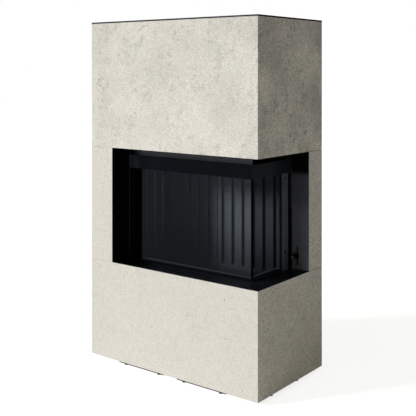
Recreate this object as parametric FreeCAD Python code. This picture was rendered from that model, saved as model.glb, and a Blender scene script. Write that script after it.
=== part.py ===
import FreeCAD, Part
import os
from FreeCAD import Vector

# Corner fireplace with a lift-up glass door, built into a free-standing stone-clad casing.
# Millimetres. X runs to the right, Y to the back, Z up. The origin is on the floor under the centre of the casing.

# Casing
case_w = 1150.0
case_d = 630.0
foot_h = 20.0
clad_h = 1892.0
slab_t = 12.0
slab_joint = 0.6
cover_edge = 8.0
cover_t = 2.0
rear_sheet_t = 2.0

# Corner opening in the casing, open to the front and to the right
sill_rise = 545.0
opening_h = 645.0
left_strip_w = 163.0
rear_strip_w = 140.0
sheet_t = 3.0

# Steel angles of the casing frame
angle_w = 40.0
angle_t = 3.0

# Rails and feet under the casing
rail_len = 323.0
rail_w = 30.0
rail_h = 12.0
rail_wall = 2.0
rail_setback = 15.0
rail_centre = 208.0
foot_pitch = 241.0
foot_pad_r = 11.0
foot_pad_gap = 1.0
foot_stud_r = 5.0
side_foot_front = -155.0
side_foot_rear = 94.0

# Lift-up door
glass_t = 5.0
glass_recess_front = 128.0
glass_recess_side = 120.0
door_lip = 3.0
door_depth = 16.0
door_gap = 0.3
channel_h = 10.0
glass_bite = 5.0
stile_w = 22.0
stile_wall = 2.0
rail_clip_h = 20.0
top_rail_h = 97.0
seal_w = 9.0

# Header in front of the door, with the cheek and the cover strip that carry its ends
header_drop = 42.0
header_h = 74.0
header_notch_gap = 0.5
header_depth_front = 17.0
header_depth_side = 8.0
header_inset = 28.0
header_rear_gap = 7.0
header_wall = 2.0
door_header_gap = 2.0
cheek_t = 5.0
strip_w = 64.0
strip_t = 2.0
strip_bend_w = 22.0
strip_bend_d = 9.0
strip_inset = 4.0
screw_r = 4.0
screw_head_h = 1.6
screw_shank_r = 2.0
screw_low = 97.0
screw_high = 27.0

# Door guides
guide_w = 20.0
guide_wall = 2.0
stile_gap = 3.0
shoe_gap = 0.5
shoe_h = 50.0
shoe_inset = 22.0

# Recess sheets behind their visible edges
soffit_slot = 10.0
reveal_return = 20.0
rear_reveal_inset = 105.0
seat_lap = 2.0

# Firebox
shell_t = 3.0
shell_door_gap = 4.0
lining_t = 30.0
lining_face_left = 197.0
lining_face_rear = 158.0
hearth_drop = 83.0
hearth_t = 30.0
window_low = 7.0
window_high = 105.0
window_rear = 185.0
hearth_rim_front = 10.0
hearth_rim_side = 20.0
hearth_rim_t = 5.0
hearth_rim_lip = 20.0

# Fluted lining
flute_w = 43.0
rib_w = 28.0
flute_d = 15.0
flute_foot = 40.0
flute_head = 35.0
lining_high = 90.0
lining_joint_x = -24.0
left_first_rib = 68.0
baffle_t = 30.0
baffle_front = 105.0

# Smoke hood and flue
flue_r = 100.0
flue_wall = 3.0
flue_len = 80.0
flue_bead_w = 5.0
flue_bead_h = 3.0
hood_h = 347.0
cover_flue_gap = 22.0
vent_len = 120.0
vent_w = 12.0
vent_pitch = 30.0
vent_count = 5
vent_offset = 260.0

# Stand under the firebox
skid_w = 40.0
skid_h = 30.0

# Air supply: box, intake collar, gate, rod and knob
air_r = 62.5
air_wall = 2.0
air_box_w = 194.0
air_box_d = 70.0
air_box_h = 160.0
air_box_low = 122.0
air_collar_inset = 81.5
slot_w = 9.0
slot_h = 106.0
slot_low = 20.0
slot_inset = 72.0
rod_r = 4.0
knob_r = 12.5
knob_len = 26.0
knob_proud = 41.0
knob_chamfer = 1.5
neck_r = 7.0
neck_len = 6.0
gate_t = 3.0
gate_gap = 0.4
gate_bar_w = 26.0
gate_blade_w = 46.0
gate_blade_h = 110.0
gate_top = 19.0
gate_port_w = 36.0
gate_port_h = 60.0
gate_lip = 4.0
gate_side_gap = 0.5
gate_guide_w = 6.0

# Counterbalance: pulleys, cables and weights
cable_r = 1.5
cable_gap = 0.3
left_pulley_r = 40.0
pulley_w = 14.0
pulley_flange = 4.0
pulley_groove_w = 5.0
pulley_hole_share = 0.22
pulley_hole_place_share = 0.55
axle_r = 6.0
axle_clear = 0.05
pulley_drop = 132.0
guide_pulley_gap = 7.0
cheek_gap = 0.5
carrier_cheek_t = 3.0
carrier_cheek_w = 36.0
beam_w = 24.0
beam_h = 30.0
weight_w = 60.0
weight_d = 50.0
weight_h = 315.0
weight_top_drop = 80.0
weight_side_gap = 0.5
weight_guide_t = 2.0
weight_shell_gap = 8.0
weight_end_gap = 9.0
lug_w = 12.0
lug_h = 12.0

# Overrun of every cutting tool past the face it cuts
over = 1.0

# Planes worked out from the sizes above
x_left = -case_w / 2
x_right = case_w / 2
y_front = -case_d / 2
y_rear = case_d / 2
z_low = foot_h + sill_rise
z_high = z_low + opening_h
z_clad_top = foot_h + clad_h
z_sill = z_low + sheet_t
z_soffit = z_high - sheet_t
x_open = x_left + left_strip_w
y_open = y_rear - rear_strip_w
frame_x0 = x_left + slab_t
frame_x1 = x_right - slab_t
frame_y0 = y_front + slab_t
frame_y1 = y_rear - rear_sheet_t

foot_pad_h = foot_h - rail_h - foot_pad_gap

door_y0 = y_front + glass_recess_front - door_lip
door_y1 = door_y0 + door_depth
door_x1 = x_right - glass_recess_side + door_lip
door_x0 = door_x1 - door_depth
door_left = x_open + sheet_t + guide_w + stile_gap
door_z0 = z_sill + door_gap
door_z1 = z_high + seat_lap
glass_y = door_y0 + door_lip
glass_x = door_x1 - door_lip
glass_z0 = door_z0 + channel_h - glass_bite
rail_z0 = door_z1 - top_rail_h
glass_z1 = rail_z0 + glass_bite

header_y0 = door_y0 - door_header_gap - header_depth_front
header_x1 = door_x1 + door_header_gap + header_depth_side
header_x0 = x_open + sheet_t + header_inset
header_y1 = y_open - sheet_t - header_rear_gap
header_z1 = z_soffit - header_drop
header_z0 = header_z1 - header_h

strip_x1 = header_x1 - strip_inset
strip_x0 = strip_x1 - strip_t
strip_y1 = header_y1 - strip_bend_w
strip_y0 = strip_y1 - strip_w
guide_open = door_depth + 2 * shell_door_gap
guide_x0 = strip_x0 - guide_w
guide_y1 = strip_y0 + guide_open + stile_w - guide_wall
guide_y0 = guide_y1 - guide_open
rear_stile_y1 = guide_y0 - stile_gap
rear_stile_y0 = rear_stile_y1 - stile_w

shell_x0 = x_left + lining_face_left - lining_t - shell_t
shell_x1 = door_x0 - shell_door_gap
shell_y0 = door_y1 + shell_door_gap
shell_y1 = y_rear - lining_face_rear + lining_t + shell_t
hearth_z = z_sill - hearth_drop
shell_z0 = hearth_z - hearth_t - shell_t
shell_z1 = z_high + shell_t
inner_x0 = shell_x0 + shell_t
inner_x1 = shell_x1 - shell_t
inner_y0 = shell_y0 + shell_t
inner_y1 = shell_y1 - shell_t
face_x = inner_x0 + lining_t
face_y = inner_y1 - lining_t
lining_z1 = z_high - lining_high
flue_x = (shell_x0 + shell_x1) / 2
flue_y = (shell_y0 + shell_y1) / 2
hood_z1 = shell_z1 + hood_h

slot_x = x_right - slot_inset
slot_z0 = z_sill + slot_low
knob_z = slot_z0 + slot_h / 2
panel_y0 = y_open - sheet_t
air_x1 = slot_x + gate_blade_w / 2 + gate_side_gap + gate_guide_w
air_x0 = air_x1 - air_box_w
air_y0 = shell_y1
air_y1 = air_y0 + air_box_d
air_z0 = shell_z0 - air_box_low
air_z1 = air_z0 + air_box_h
air_z = (air_z0 + air_z1) / 2
air_collar_x = air_x0 + air_collar_inset
gate_y1 = air_y0 - gate_gap
gate_y0 = gate_y1 - gate_t

left_cable_x = door_left + stile_w / 2
right_cable_x = (door_x0 + door_x1) / 2
left_cable_y = (door_y0 + door_y1) / 2
right_cable_y = (rear_stile_y0 + rear_stile_y1) / 2
pulley_z = z_clad_top - pulley_drop
weight_y0 = shell_y1 + weight_guide_t + weight_shell_gap
weight_cable_y = weight_y0 + weight_d / 2
right_pulley_r = (weight_cable_y - right_cable_y) / 2
guide_top = pulley_z - right_pulley_r - pulley_flange - guide_pulley_gap
lift = guide_top - guide_wall - door_z1
weight_z1 = pulley_z - weight_top_drop
lug_door_z = door_z1 + lug_h
lug_weight_z = weight_z1 + lug_h


def block(x0, x1, y0, y1, z0, z1):
    return Part.makeBox(x1 - x0, y1 - y0, z1 - z0, Vector(x0, y0, z0))


def prism(points, z0, z1):
    corners = [Vector(x, y, z0) for x, y in points]
    outline = Part.makePolygon(corners + corners[:1])
    return Part.Face(outline).extrude(Vector(0, 0, z1 - z0))


def ell(x0, x1, y0, y1, front_leg, side_leg, z0, z1):
    # an L in plan: one leg along the front edge, one along the right edge
    inner_x = x1 - side_leg
    inner_y = y0 + front_leg
    points = [(x0, y0), (x1, y0), (x1, y1), (inner_x, y1), (inner_x, inner_y), (x0, inner_y)]
    return prism(points, z0, z1)


def rod(radius, start, end):
    axis = end - start
    return Part.makeCylinder(radius, axis.Length, start, axis)


def tube(outer_r, inner_r, start, end):
    axis = end - start
    overrun = Vector(axis).normalize() * over
    return rod(outer_r, start, end).cut(rod(inner_r, start - overrun, end + overrun))


def save(name, *solids):
    shape = solids[0] if len(solids) == 1 else Part.makeCompound(list(solids))
    shape.exportStep("parts/" + name + ".step")


def fused(solids):
    return solids[0].multiFuse(solids[1:]).removeSplitter()


def angle_ring(x0, x1, y0, y1, z0, z1, flange_up):
    # a welded ring of steel angle: an upright flange all round and a flat one at its top or bottom
    upright = block(x0, x1, y0, y1, z0, z1)
    upright = upright.cut(block(x0 + angle_t, x1 - angle_t, y0 + angle_t, y1 - angle_t, z0 - over, z1 + over))
    flat_z0 = z1 - angle_t if flange_up else z0
    flat = block(x0, x1, y0, y1, flat_z0, flat_z0 + angle_t)
    hole = block(x0 + angle_w, x1 - angle_w, y0 + angle_w, y1 - angle_w, z0 - over, z1 + over)
    return upright.fuse(flat.cut(hole))


def angle_post(x, y, x_way, y_way, z0, z1):
    # one upright angle whose heel stands at x, y and whose legs run the given ways
    points = [(0, 0), (angle_w, 0), (angle_w, angle_t), (angle_t, angle_t), (angle_t, angle_w), (0, angle_w)]
    return prism([(x + x_way * a, y + y_way * b) for a, b in points], z0, z1)


def corner_posts(x0, x1, y0, y1, z0, z1):
    return [angle_post(x0, y0, 1, 1, z0, z1), angle_post(x0, y1, 1, -1, z0, z1),
            angle_post(x1, y1, -1, -1, z0, z1), angle_post(x1, y0, -1, 1, z0, z1)]


def cladding():
    # slabs are mitred where the front meets the sides, and run square into the back
    front = [(x_left, y_front), (x_right, y_front), (frame_x1, frame_y0), (frame_x0, frame_y0)]
    right = [(x_right, y_front), (x_right, y_rear), (frame_x1, y_rear), (frame_x1, frame_y0)]
    left = [(x_left, y_front), (frame_x0, frame_y0), (frame_x0, y_rear), (x_left, y_rear)]
    front_strip = [(x_left, y_front), (x_open, y_front), (x_open, frame_y0), (frame_x0, frame_y0)]
    right_strip = [(x_right, y_open), (x_right, y_rear), (frame_x1, y_rear), (frame_x1, y_open)]
    courses = {"lower": (foot_h, z_low), "upper": (z_high, z_clad_top)}
    for course, (z0, z1) in courses.items():
        save("front_" + course + "_slab", prism(front, z0, z1))
        save("right_" + course + "_slab", prism(right, z0, z1))
        save("left_" + course + "_slab", prism(left, z0, z1))
    strip_z0 = z_low + slab_joint
    strip_z1 = z_high - slab_joint
    save("front_strip_slab", prism(front_strip, strip_z0, strip_z1))
    save("right_strip_slab", prism(right_strip, strip_z0, strip_z1))
    save("left_middle_slab", prism(left, strip_z0, strip_z1))


def vent_slot(x, y, z0, z1):
    half = (vent_len - vent_w) / 2
    middle = block(x - half, x + half, y - vent_w / 2, y + vent_w / 2, z0, z1)
    ends = [rod(vent_w / 2, Vector(x + way * half, y, z0), Vector(x + way * half, y, z1)) for way in (-1, 1)]
    return middle.multiFuse(ends)


def covers():
    # top cover: a shallow tray turned down over the slabs, with the flue hole and warm-air slots
    z1 = z_clad_top + cover_edge
    plate_z0 = z1 - cover_t
    top = block(x_left, x_right, y_front, y_rear, z_clad_top, z1)
    top = top.cut(block(x_left + cover_t, x_right - cover_t, y_front + cover_t, y_rear - cover_t,
                        z_clad_top - over, plate_z0))
    flue_hole_r = flue_r + flue_wall + cover_flue_gap
    cuts = [rod(flue_hole_r, Vector(flue_x, flue_y, plate_z0 - over), Vector(flue_x, flue_y, z1 + over))]
    for way in (-1, 1):
        for n in range(vent_count):
            y = flue_y + (n - (vent_count - 1) / 2) * vent_pitch
            cuts.append(vent_slot(flue_x + way * vent_offset, y, plate_z0 - over, z1 + over))
    save("top_cover", top.cut(cuts))
    # rear cover: one sheet between the side slabs, holed for the air intake
    rear = block(frame_x0, frame_x1, frame_y1, y_rear, foot_h, z_clad_top)
    collar = rod(air_r + air_wall, Vector(air_collar_x, frame_y1 - over, air_z),
                 Vector(air_collar_x, y_rear + over, air_z))
    save("rear_cover", rear.cut(collar))


def casing_frame():
    edges = (frame_x0, frame_x1, frame_y0, frame_y1)
    lower = [angle_ring(*edges, foot_h, foot_h + angle_w, False), angle_ring(*edges, z_low - angle_w, z_low, True)]
    save("lower_frame", fused(lower + corner_posts(*edges, foot_h, z_low)))
    upper = [angle_ring(*edges, z_high, z_high + angle_w, False),
             angle_ring(*edges, z_clad_top - angle_w, z_clad_top, True)]
    save("upper_frame", fused(upper + corner_posts(*edges, z_high, z_clad_top)))
    # the front right corner stays open, so only three posts join the two frames
    save("middle_posts", *corner_posts(*edges, z_low, z_high)[:3])


def foot(x, y, stud_z1):
    pad = rod(foot_pad_r, Vector(x, y, 0), Vector(x, y, foot_pad_h))
    pad = pad.makeChamfer(foot_pad_h / 4, [pad.Edges[0]])
    return pad.fuse(rod(foot_stud_r, Vector(x, y, foot_pad_h / 2), Vector(x, y, stud_z1)))


def feet():
    rails = []
    studs = []
    rail_z0 = foot_h - rail_h
    for y in (y_front + rail_setback + rail_w / 2, y_rear - rail_setback - rail_w / 2):
        for x in (-rail_centre, rail_centre):
            half = rail_len / 2
            rail = block(x - half, x + half, y - rail_w / 2, y + rail_w / 2, rail_z0, foot_h)
            hollow = block(x - half - over, x + half + over, y - rail_w / 2 + rail_wall, y + rail_w / 2 - rail_wall,
                           rail_z0 + rail_wall, foot_h + over)
            rail = rail.cut(hollow)
            for way in (-1, 1):
                foot_x = x + way * foot_pitch / 2
                rail = rail.cut(rod(foot_stud_r, Vector(foot_x, y, rail_z0 - over), Vector(foot_x, y, foot_h + over)))
                studs.append(foot(foot_x, y, foot_h))
            rails.append(rail)
    for x in (x_left + rail_setback + rail_w / 2, x_right - rail_setback - rail_w / 2):
        for y in (side_foot_front, side_foot_rear):
            studs.append(foot(x, y, foot_h))
    save("foot_rails", *rails)
    save("levelling_feet", *studs)


def recess():
    # thin sheets line the opening; their edges lie flush with the outside of the slabs
    front_leg = shell_y0 - y_front - seat_lap
    side_leg = x_right - shell_x1 - seat_lap
    save("recess_sill", ell(x_open, x_right, y_front, y_open, front_leg, side_leg, z_low, z_sill))
    soffit_front = door_y0 - soffit_slot - y_front
    soffit_side = x_right - door_x1 - soffit_slot
    save("recess_soffit", ell(x_open, x_right, y_front, y_open, soffit_front, soffit_side, z_soffit, z_high))
    sheet = block(x_open, x_open + sheet_t, y_front, y_front + front_leg, z_sill, z_soffit)
    flange = block(x_open - reveal_return, x_open, frame_y0, frame_y0 + sheet_t, z_sill, z_soffit)
    save("recess_left_reveal", fused([sheet, flange]))
    panel = block(x_right - rear_reveal_inset, x_right, panel_y0, y_open, z_sill, z_soffit)
    flange = block(frame_x1 - sheet_t, frame_x1, y_open, y_open + reveal_return, z_sill, z_soffit)
    save("recess_rear_reveal", fused([panel, flange]).cut(air_slot()))


def air_slot():
    half = slot_w / 2
    low = slot_z0 + half
    high = slot_z0 + slot_h - half
    y0 = panel_y0 - over
    y1 = y_open + over
    ends = [rod(half, Vector(slot_x, y0, z), Vector(slot_x, y1, z)) for z in (low, high)]
    return block(slot_x - half, slot_x + half, y0, y1, low, high).multiFuse(ends)


def header():
    # a folded channel, open to the back, that turns the corner in front of the door and clears the rear guide
    outer = ell(header_x0, header_x1, header_y0, header_y1, header_depth_front, header_depth_side,
                header_z0, header_z1)
    hollow = ell(header_x0 - over, header_x1 - header_wall, header_y0 + header_wall, header_y1 + over,
                 header_depth_front, header_depth_side, header_z0 + header_wall, header_z1 - header_wall)
    notch = block(guide_x0, strip_x0 + header_notch_gap, guide_y0 - header_notch_gap, guide_y1 + header_notch_gap,
                  header_z0 - over, header_z1 + over)
    save("header", outer.cut([hollow, notch]))
    cheek_y1 = header_y0 + header_depth_front
    save("left_cheek", block(header_x0, header_x0 + cheek_t, header_y0, cheek_y1, z_sill, header_z0))
    # the cover strip is flat over the guide and folds back towards the rear reveal
    back_x = strip_x1 - strip_bend_d
    points = [(strip_x1, strip_y0), (strip_x1, strip_y1), (back_x, header_y1), (back_x - strip_t, header_y1),
              (strip_x0, strip_y1), (strip_x0, strip_y0)]
    strip = prism(points, z_sill, header_z0)
    screw_y = (strip_y0 + strip_y1) / 2
    screws = []
    for z in (z_sill + screw_low, header_z0 - screw_high):
        strip = strip.cut(rod(screw_shank_r, Vector(strip_x0 - over, screw_y, z), Vector(strip_x1 + over, screw_y, z)))
        shank = rod(screw_shank_r, Vector(strip_x0, screw_y, z), Vector(strip_x1, screw_y, z))
        head = rod(screw_r, Vector(strip_x1, screw_y, z), Vector(strip_x1 + screw_head_h, screw_y, z))
        head = head.makeFillet(screw_head_h / 2, [head.Edges[0]])
        screws.append(shank.fuse(head))
    save("rear_guide_cover", strip)
    save("cover_screws", *screws)


def firebox():
    shell = block(shell_x0, shell_x1, shell_y0, shell_y1, shell_z0, shell_z1)
    shell = shell.cut(block(inner_x0, inner_x1, inner_y0, inner_y1, shell_z0 + shell_t, shell_z1 + over))
    window_z0 = z_sill + window_low
    window_z1 = z_high - window_high
    window_y1 = y_rear - window_rear
    shell = shell.cut(block(face_x, shell_x1 + over, shell_y0 - over, inner_y0 + over, window_z0, window_z1))
    shell = shell.cut(block(inner_x1 - over, shell_x1 + over, shell_y0 - over, window_y1, window_z0, window_z1))
    save("firebox_shell", fused([shell] + weight_guides()))
    # hearth frame: a bright-edged rim on the shell's front apron, turned down on its inner side
    rim_z1 = window_z0 + hearth_rim_t
    rim = ell(face_x, shell_x1, shell_y0, window_y1, hearth_rim_front, hearth_rim_side, window_z0, rim_z1)
    lip_outer = ell(face_x, shell_x1 - hearth_rim_side + hearth_rim_t, shell_y0 + hearth_rim_front - hearth_rim_t,
                    window_y1, hearth_rim_t, hearth_rim_t, window_z0 - hearth_rim_lip, window_z0)
    save("hearth_frame", fused([rim, lip_outer]))
    save("hearth_floor", block(inner_x0, inner_x1, inner_y0, inner_y1, hearth_z - hearth_t, hearth_z))
    baffle_y0 = inner_y0 + baffle_front
    save("baffle", block(inner_x0, inner_x1, baffle_y0, inner_y1, lining_z1, lining_z1 + baffle_t))


def weight_guides():
    # upright channels welded to the back of the shell, in which the counterweights run
    channels = []
    for x in (left_cable_x, right_cable_x):
        inner = weight_w / 2 + weight_side_gap
        outer = inner + weight_guide_t
        y0 = shell_y1
        y1 = weight_y0 + weight_d + weight_guide_t
        z0 = weight_z1 - weight_h - lift - weight_end_gap
        channel = block(x - outer, x + outer, y0, y1, z0, weight_z1)
        hollow = block(x - inner, x + inner, y0 + weight_guide_t, y1 + over, z0 - over, weight_z1 + over)
        channels.append(channel.cut(hollow))
    return channels


def fluted_panel(length, starts):
    # a panel with its face at y = 0 and its thickness behind; flutes end in slopes above its foot
    panel = block(0, length, 0, lining_t, hearth_z, lining_z1)
    z0 = hearth_z + flute_foot
    z1 = lining_z1 - flute_head
    side = [(-over, z0), (0, z0), (flute_d, z0 + flute_d), (flute_d, z1 - flute_d), (0, z1), (-over, z1)]
    cuts = []
    for start in starts:
        corners = [Vector(start, y, z) for y, z in side]
        outline = Part.makePolygon(corners + corners[:1])
        cuts.append(Part.Face(outline).extrude(Vector(flute_w, 0, 0)))
    return panel.cut(cuts)


def linings():
    pitch = flute_w + rib_w
    right_len = inner_x1 - lining_joint_x
    right_count = int((right_len - rib_w) // pitch)
    right = fluted_panel(right_len, [rib_w + n * pitch for n in range(right_count)])
    right.translate(Vector(lining_joint_x, face_y, 0))
    save("back_lining_right", right)
    left_len = lining_joint_x - inner_x0
    left_count = int((left_len - lining_t - rib_w) // pitch)
    left = fluted_panel(left_len, [left_len - (n + 1) * pitch for n in range(left_count)])
    left.translate(Vector(inner_x0, face_y, 0))
    save("back_lining_left", left)
    side_len = face_y - inner_y0
    side_count = int((side_len - left_first_rib) // pitch)
    side = fluted_panel(side_len, [side_len - left_first_rib - flute_w - n * pitch for n in range(side_count)])
    side.rotate(Vector(0, 0, 0), Vector(0, 0, 1), 90)
    side.translate(Vector(face_x, inner_y0, 0))
    save("left_lining", side)


def hood_loft(inset):
    x0, x1 = shell_x0 + inset, shell_x1 - inset
    y0, y1 = shell_y0 + inset, shell_y1 - inset
    corners = [Vector(x0, y0, shell_z1), Vector(x1, y0, shell_z1), Vector(x1, y1, shell_z1), Vector(x0, y1, shell_z1)]
    base = Part.makePolygon(corners + corners[:1])
    centre = Vector(flue_x, flue_y, hood_z1)
    up = Vector(0, 0, 1)
    radius = flue_r + flue_wall - inset
    arcs = [Part.makeCircle(radius, centre, up, start, start + 90) for start in (225, 315, 45, 135)]
    return Part.makeLoft([base, Part.Wire(arcs)], True, True)


def flue():
    save("smoke_hood", hood_loft(0).cut(hood_loft(flue_wall)))
    foot_point = Vector(flue_x, flue_y, hood_z1)
    collar = tube(flue_r + flue_wall, flue_r, foot_point, foot_point + Vector(0, 0, flue_len))
    bead_z = foot_point + Vector(0, 0, flue_len / 2)
    bead = tube(flue_r + flue_wall + flue_bead_w, flue_r, bead_z, bead_z + Vector(0, 0, flue_bead_h))
    save("flue_collar", fused([collar, bead]))


def stand():
    z1 = shell_z0
    skid_z0 = foot_h + angle_t
    leg_z0 = skid_z0 + skid_h
    ring = angle_ring(shell_x0, shell_x1, shell_y0, shell_y1, z1 - angle_w, z1, True)
    legs = corner_posts(shell_x0, shell_x1, shell_y0, shell_y1, leg_z0, z1)
    skids = []
    for x in (shell_x0, shell_x1 - skid_w):
        skids.append(block(x, x + skid_w, frame_y0 + angle_t, frame_y1 - angle_t, skid_z0, leg_z0))
    save("insert_stand", fused([ring] + legs + skids))


def air_supply():
    # the box takes room air from the intake collar and gives it to the fire through the gate's port
    box = block(air_x0, air_x1, air_y0, air_y1, air_z0, air_z1)
    box = box.cut(block(air_x0 + air_wall, air_x1 - air_wall, air_y0 + air_wall, air_y1 - air_wall,
                        air_z0 + air_wall, air_z1 - air_wall))
    port_z = (air_z0 + air_z1) / 2
    box = box.cut(block(slot_x - gate_port_w / 2, slot_x + gate_port_w / 2, air_y0 - over, air_y0 + air_wall + over,
                        port_z - gate_port_h / 2, port_z + gate_port_h / 2))
    intake = Vector(air_collar_x, air_y1, air_z)
    box = box.cut(rod(air_r, intake - Vector(0, air_wall + over, 0), intake + Vector(0, over, 0)))
    lips = []
    edge = gate_blade_w / 2 + gate_side_gap
    lip_y1 = gate_y0 - gate_gap
    lip_y0 = lip_y1 - air_wall
    for way in (-1, 1):
        near, far = sorted((slot_x + way * edge, slot_x + way * (edge + gate_guide_w)))
        lips.append(block(near, far, lip_y0, air_y0, air_z0, air_z1))
        near, far = sorted((slot_x + way * (edge - gate_lip), slot_x + way * (edge + gate_guide_w)))
        lips.append(block(near, far, lip_y0, lip_y1, air_z0, air_z1))
    save("air_box", fused([box] + lips))
    save("air_intake_collar", tube(air_r + air_wall, air_r, intake, Vector(air_collar_x, y_rear, air_z)))


def air_control():
    bar_z1 = knob_z + gate_top
    blade_z0 = (air_z0 + air_z1) / 2 - gate_blade_h / 2
    blade = block(slot_x - gate_blade_w / 2, slot_x + gate_blade_w / 2, gate_y0, gate_y1, blade_z0,
                  blade_z0 + gate_blade_h)
    bar = block(slot_x - gate_bar_w / 2, slot_x + gate_bar_w / 2, gate_y0, gate_y1, blade_z0, bar_z1)
    save("air_gate", fused([blade, bar]))
    knob_y0 = panel_y0 - knob_proud
    knob_y1 = knob_y0 + knob_len
    neck_y1 = knob_y1 + neck_len
    grip = rod(knob_r, Vector(slot_x, knob_y0, knob_z), Vector(slot_x, knob_y1, knob_z))
    grip = grip.makeChamfer(knob_chamfer, [grip.Edges[0], grip.Edges[2]])
    neck = rod(neck_r, Vector(slot_x, knob_y1, knob_z), Vector(slot_x, neck_y1, knob_z))
    save("air_knob", fused([grip, neck]))
    save("air_rod", rod(rod_r, Vector(slot_x, neck_y1, knob_z), Vector(slot_x, gate_y0, knob_z)))


def door_glass():
    front_x0 = door_left + stile_w - glass_bite
    corner_x = glass_x - seal_w
    corner_y = glass_y + seal_w
    side_y1 = rear_stile_y0 + glass_bite
    save("front_glass", block(front_x0, corner_x, glass_y, glass_y + glass_t, glass_z0, glass_z1))
    save("side_glass", block(glass_x - glass_t, glass_x, corner_y, side_y1, glass_z0, glass_z1))
    # the seal fills the corner between the panes, with its outer edge taken off
    bevel = seal_w / 4
    points = [(corner_x, glass_y), (glass_x - bevel, glass_y), (glass_x, glass_y + bevel), (glass_x, corner_y),
              (glass_x - glass_t, corner_y), (glass_x - glass_t, glass_y + glass_t),
              (corner_x, glass_y + glass_t)]
    save("corner_seal", prism(points, glass_z0, glass_z1))


def glass_groove(z0, z1):
    return ell(door_left, glass_x, glass_y, rear_stile_y1, glass_t, glass_t, z0, z1)


def door_rails():
    x0 = door_left + stile_w
    y1 = rear_stile_y0
    low_z1 = door_z0 + channel_h
    low = ell(x0, door_x1, door_y0, y1, door_depth, door_depth, door_z0, low_z1)
    save("door_bottom_channel", low.cut(glass_groove(glass_z0, low_z1 + over)))
    # the top rail is a clip over the glass with a folded sheet above it
    top = ell(x0, door_x1, door_y0, y1, door_depth, door_depth, rail_z0, door_z1)
    hollow = ell(x0 - over, door_x1 - door_lip, door_y0 + door_lip, y1 + over, door_depth, door_depth,
                 rail_z0 + rail_clip_h, door_z1 - door_lip)
    save("door_top_rail", top.cut([hollow, glass_groove(rail_z0 - over, glass_z1)]))


def door_stiles():
    groove = glass_groove(glass_z0, glass_z1)
    z0 = door_z0 + channel_h
    z1 = rail_z0
    left_x1 = door_left + stile_w
    left = block(door_left, left_x1, door_y0, door_y1, door_z0, door_z1)
    left = left.cut(block(door_left + stile_wall, left_x1 - glass_bite, door_y0 + door_lip, door_y1 + over, z0, z1))
    left = left.cut(groove)
    save("door_left_stile", left.fuse(cable_lug(left_cable_x, left_cable_y, door_z1)))
    rear = block(door_x0, door_x1, rear_stile_y0, rear_stile_y1, door_z0, door_z1)
    rear = rear.cut(block(door_x0 - over, door_x1 - door_lip, rear_stile_y0 + glass_bite,
                          rear_stile_y1 - stile_wall, z0, z1))
    rear = rear.cut(groove)
    save("door_rear_stile", rear.fuse(cable_lug(right_cable_x, right_cable_y, door_z1)))


def cable_lug(x, y, z):
    # a small boss that takes the end of a cable
    return rod(lug_w / 2, Vector(x, y, z), Vector(x, y, z + lug_h))


def guides():
    # channels in which the door's shoes slide: the left one opens to the right, the rear one to the front
    left_x0 = x_open + sheet_t
    left_y0 = left_cable_y - guide_open / 2
    left_y1 = left_cable_y + guide_open / 2
    left = block(left_x0, left_x0 + guide_w, left_y0, left_y1, z_sill, guide_top)
    left = left.cut(block(left_x0 + guide_wall, left_x0 + guide_w + over, left_y0 + guide_wall, left_y1 - guide_wall,
                          z_sill - over, guide_top + over))
    rear = block(guide_x0, strip_x0, guide_y0, guide_y1, z_sill, guide_top)
    rear = rear.cut(block(guide_x0 + guide_wall, strip_x0 - guide_wall, guide_y0 - over, guide_y1 - guide_wall,
                          z_sill - over, guide_top + over))
    save("guide_rails", left, rear)
    shoes = []
    inset = guide_wall + shoe_gap
    for z0 in (door_z0 + shoe_inset, door_z1 - shoe_inset - shoe_h):
        shoes.append(block(left_x0 + inset, door_left, left_y0 + inset, left_y1 - inset, z0, z0 + shoe_h))
        shoes.append(block(guide_x0 + inset, strip_x0 - inset, rear_stile_y1, guide_y1 - inset, z0, z0 + shoe_h))
    save("guide_shoes", *shoes)


def pulley(x, y, radius):
    # a grooved wheel about the X axis, with a bored hub and lightening holes
    floor_r = radius - cable_r - cable_gap
    rim_r = radius + pulley_flange
    half = pulley_w / 2
    groove = pulley_groove_w / 2
    bore = axle_r + axle_clear
    points = [(-half, bore), (half, bore), (half, rim_r), (groove, floor_r), (-groove, floor_r), (-half, rim_r)]
    corners = [Vector(x + a, y, pulley_z + r) for a, r in points]
    wheel = Part.Face(Part.makePolygon(corners + corners[:1])).revolve(Vector(x, y, pulley_z), Vector(1, 0, 0), 360)
    hole_r = pulley_hole_share * floor_r
    place = Vector(0, 0, pulley_hole_place_share * (floor_r + axle_r / 2))
    holes = []
    for turn in (0, 90, 180, 270):
        way = FreeCAD.Rotation(Vector(1, 0, 0), turn).multVec(place)
        centre = Vector(x, y, pulley_z) + way
        holes.append(rod(hole_r, centre - Vector(half + over, 0, 0), centre + Vector(half + over, 0, 0)))
    return wheel.cut(holes)


def carrier_cheeks(x, y):
    # two plates that hang from the beam on either side of a pulley
    plates = []
    inner = pulley_w / 2 + cheek_gap
    z0 = pulley_z - carrier_cheek_w / 2
    z1 = z_clad_top - angle_t - beam_h
    for near, far in ((inner, inner + carrier_cheek_t), (-inner - carrier_cheek_t, -inner)):
        plate = block(x + near, x + far, y - carrier_cheek_w / 2, y + carrier_cheek_w / 2, z0, z1)
        hole = rod(axle_r, Vector(x + near - over, y, pulley_z), Vector(x + far + over, y, pulley_z))
        plates.append(plate.cut(hole))
    return plates


def cable_top(points, arcs):
    # a cable led over its pulleys: arcs and straights in one plane
    edges = []
    for start, middle, end in arcs:
        edges.append(Part.Arc(start, middle, end).toShape())
    for start, end in points:
        edges.append(Part.LineSegment(start, end).toShape())
    path = Part.Wire(Part.__sortEdges__(edges))
    start = arcs[0][0]
    section = Part.Wire(Part.makeCircle(cable_r, start, Vector(0, 0, 1)))
    return path.makePipeShell([section], True, False)


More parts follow.
